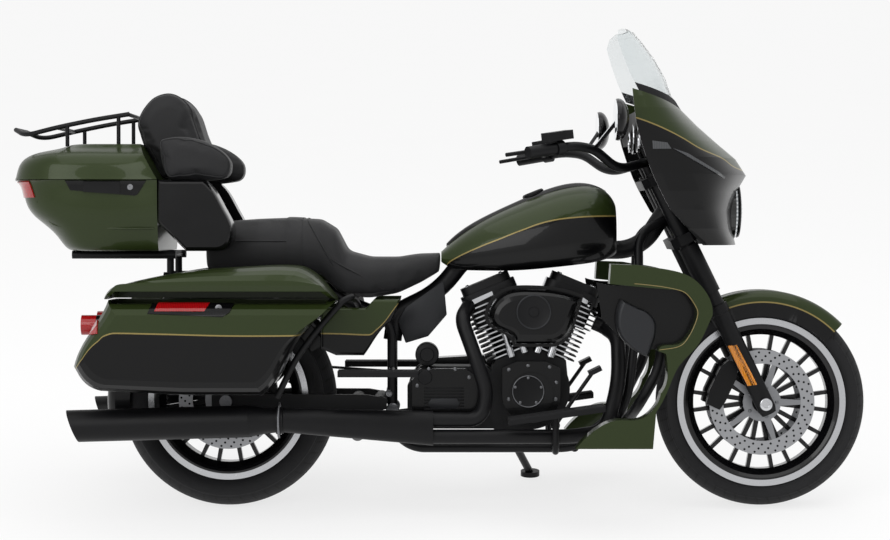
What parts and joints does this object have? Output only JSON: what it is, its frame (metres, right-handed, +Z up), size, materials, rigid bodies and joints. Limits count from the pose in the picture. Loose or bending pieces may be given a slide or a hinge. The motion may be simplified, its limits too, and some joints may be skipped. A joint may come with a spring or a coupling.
{
  "type": "touring cruiser motorcycle",
  "caption": "Touring cruiser motorcycle with V-twin engine, fork-mounted fairing, hard saddlebags and a top case, parked on its side stand.",
  "frame": {"origin": "bottom centre of the leaning machine's bounding box, on the road", "axes": "+X forward, +Y to the machine's left, +Z up; the machine leans 10 degrees to its left on the side stand"},
  "size_m": [2.61, 1.0878, 1.4523],
  "materials": {
    "green_paint": "metallic gloss",
    "black_gloss": "gloss",
    "black_satin": "satin",
    "black_plastic": "matte",
    "rubber": "matte",
    "tyre": "matte",
    "steel": "brushed",
    "alloy": "satin",
    "leather": "grained",
    "clear": "clear",
    "lamp": "clear",
    "red_lamp": "tinted"
  },
  "bodies": {
    "machine": {"air_cleaner": "black_gloss", "armrests": "leather", "bag_guards": "black_gloss", "cylinder_front": "black_satin", "cylinder_rear": "black_satin", "drive_belt": "rubber", "engine_cases": "black_satin", "engine_covers": "black_satin", "engine_guard": "black_gloss", "exhaust_headers": "black_satin", "fairing_lowers": "green_paint", "foot_controls": "black_satin", "footboards": "rubber", "frame": "black_satin", "fuel_tank": "green_paint", "head_front": "black_satin", "head_rear": "black_satin", "lower_panels": "black_plastic", "lower_pods": "black_plastic", "mufflers": "black_satin", "pushrod_tubes": "black_gloss", "rear_axle": "steel", "rear_caliper": "alloy", "rear_fender": "green_paint", "rear_lamps": "red_lamp", "rear_shocks": "black_satin", "saddlebags": "green_paint", "seat": "leather", "side_covers": "green_paint", "speaker_pods": "black_gloss", "stand_bracket": "black_satin", "swingarm": "black_satin", "tank_console": "black_gloss", "tour_case": "green_paint", "tour_mount": "black_satin"},
    "steering": {"dash_panel": "black_plastic", "fairing": "green_paint", "fork_sliders": "black_gloss", "fork_yokes": "black_satin", "front_axle": "steel", "front_calipers": "alloy", "front_fender": "green_paint", "front_lamps": "lamp", "hand_controls": "rubber", "handlebar": "black_satin", "mirrors": "black_gloss", "windshield": "clear"},
    "front_wheel_body": {"front_discs": "steel", "front_tyre": "tyre", "front_wheel": "alloy"},
    "rear_wheel_body": {"rear_disc": "steel", "rear_pulley": "alloy", "rear_tyre": "tyre", "rear_wheel": "alloy"},
    "case_lid": {"backrest": "leather", "luggage_rack": "black_gloss", "tour_lid": "green_paint"},
    "right_bag_lid": {"bag_lid_right": "green_paint"},
    "left_bag_lid": {"bag_lid_left": "green_paint"},
    "stand": {"side_stand": "black_satin"}
  },
  "joints": [
    {"name": "steering_turn", "type": "hinge", "parent": "machine", "child": "steering", "pos_m": [0.97692, -0.11952, 0.32034], "axis": [-0.4384, 0.1561, 0.8851], "range_deg": [-30, 30]},
    {"name": "front_wheel_spin", "type": "hinge", "parent": "steering", "child": "front_wheel_body", "pos_m": [0.96614, -0.12043, 0.31516], "axis": [0, 0.9848, -0.1736], "continuous": true},
    {"name": "rear_wheel_spin", "type": "hinge", "parent": "machine", "child": "rear_wheel_body", "pos_m": [-0.65886, -0.11887, 0.32402], "axis": [0, 0.9848, -0.1736], "continuous": true},
    {"name": "case_lid_lift", "type": "hinge", "parent": "machine", "child": "case_lid", "pos_m": [-1.07486, 0.295, 0.92628], "axis": [-1, 0, 0], "range_deg": [0, 80]},
    {"name": "right_bag_lid_lift", "type": "hinge", "parent": "machine", "child": "right_bag_lid", "pos_m": [-0.65886, -0.26641, 0.66784], "axis": [-1, 0, 0], "range_deg": [0, 18]},
    {"name": "left_bag_lid_lift", "type": "hinge", "parent": "machine", "child": "left_bag_lid", "pos_m": [-0.65886, 0.13736, 0.59665], "axis": [1, 0, 0], "range_deg": [0, 18]},
    {"name": "side_stand_fold", "type": "hinge", "parent": "machine", "child": "stand", "pos_m": [0.21114, 0.02244, 0.15794], "axis": [0.1045, 0.7363, 0.6686], "range_deg": [0, 100]}
  ]
}
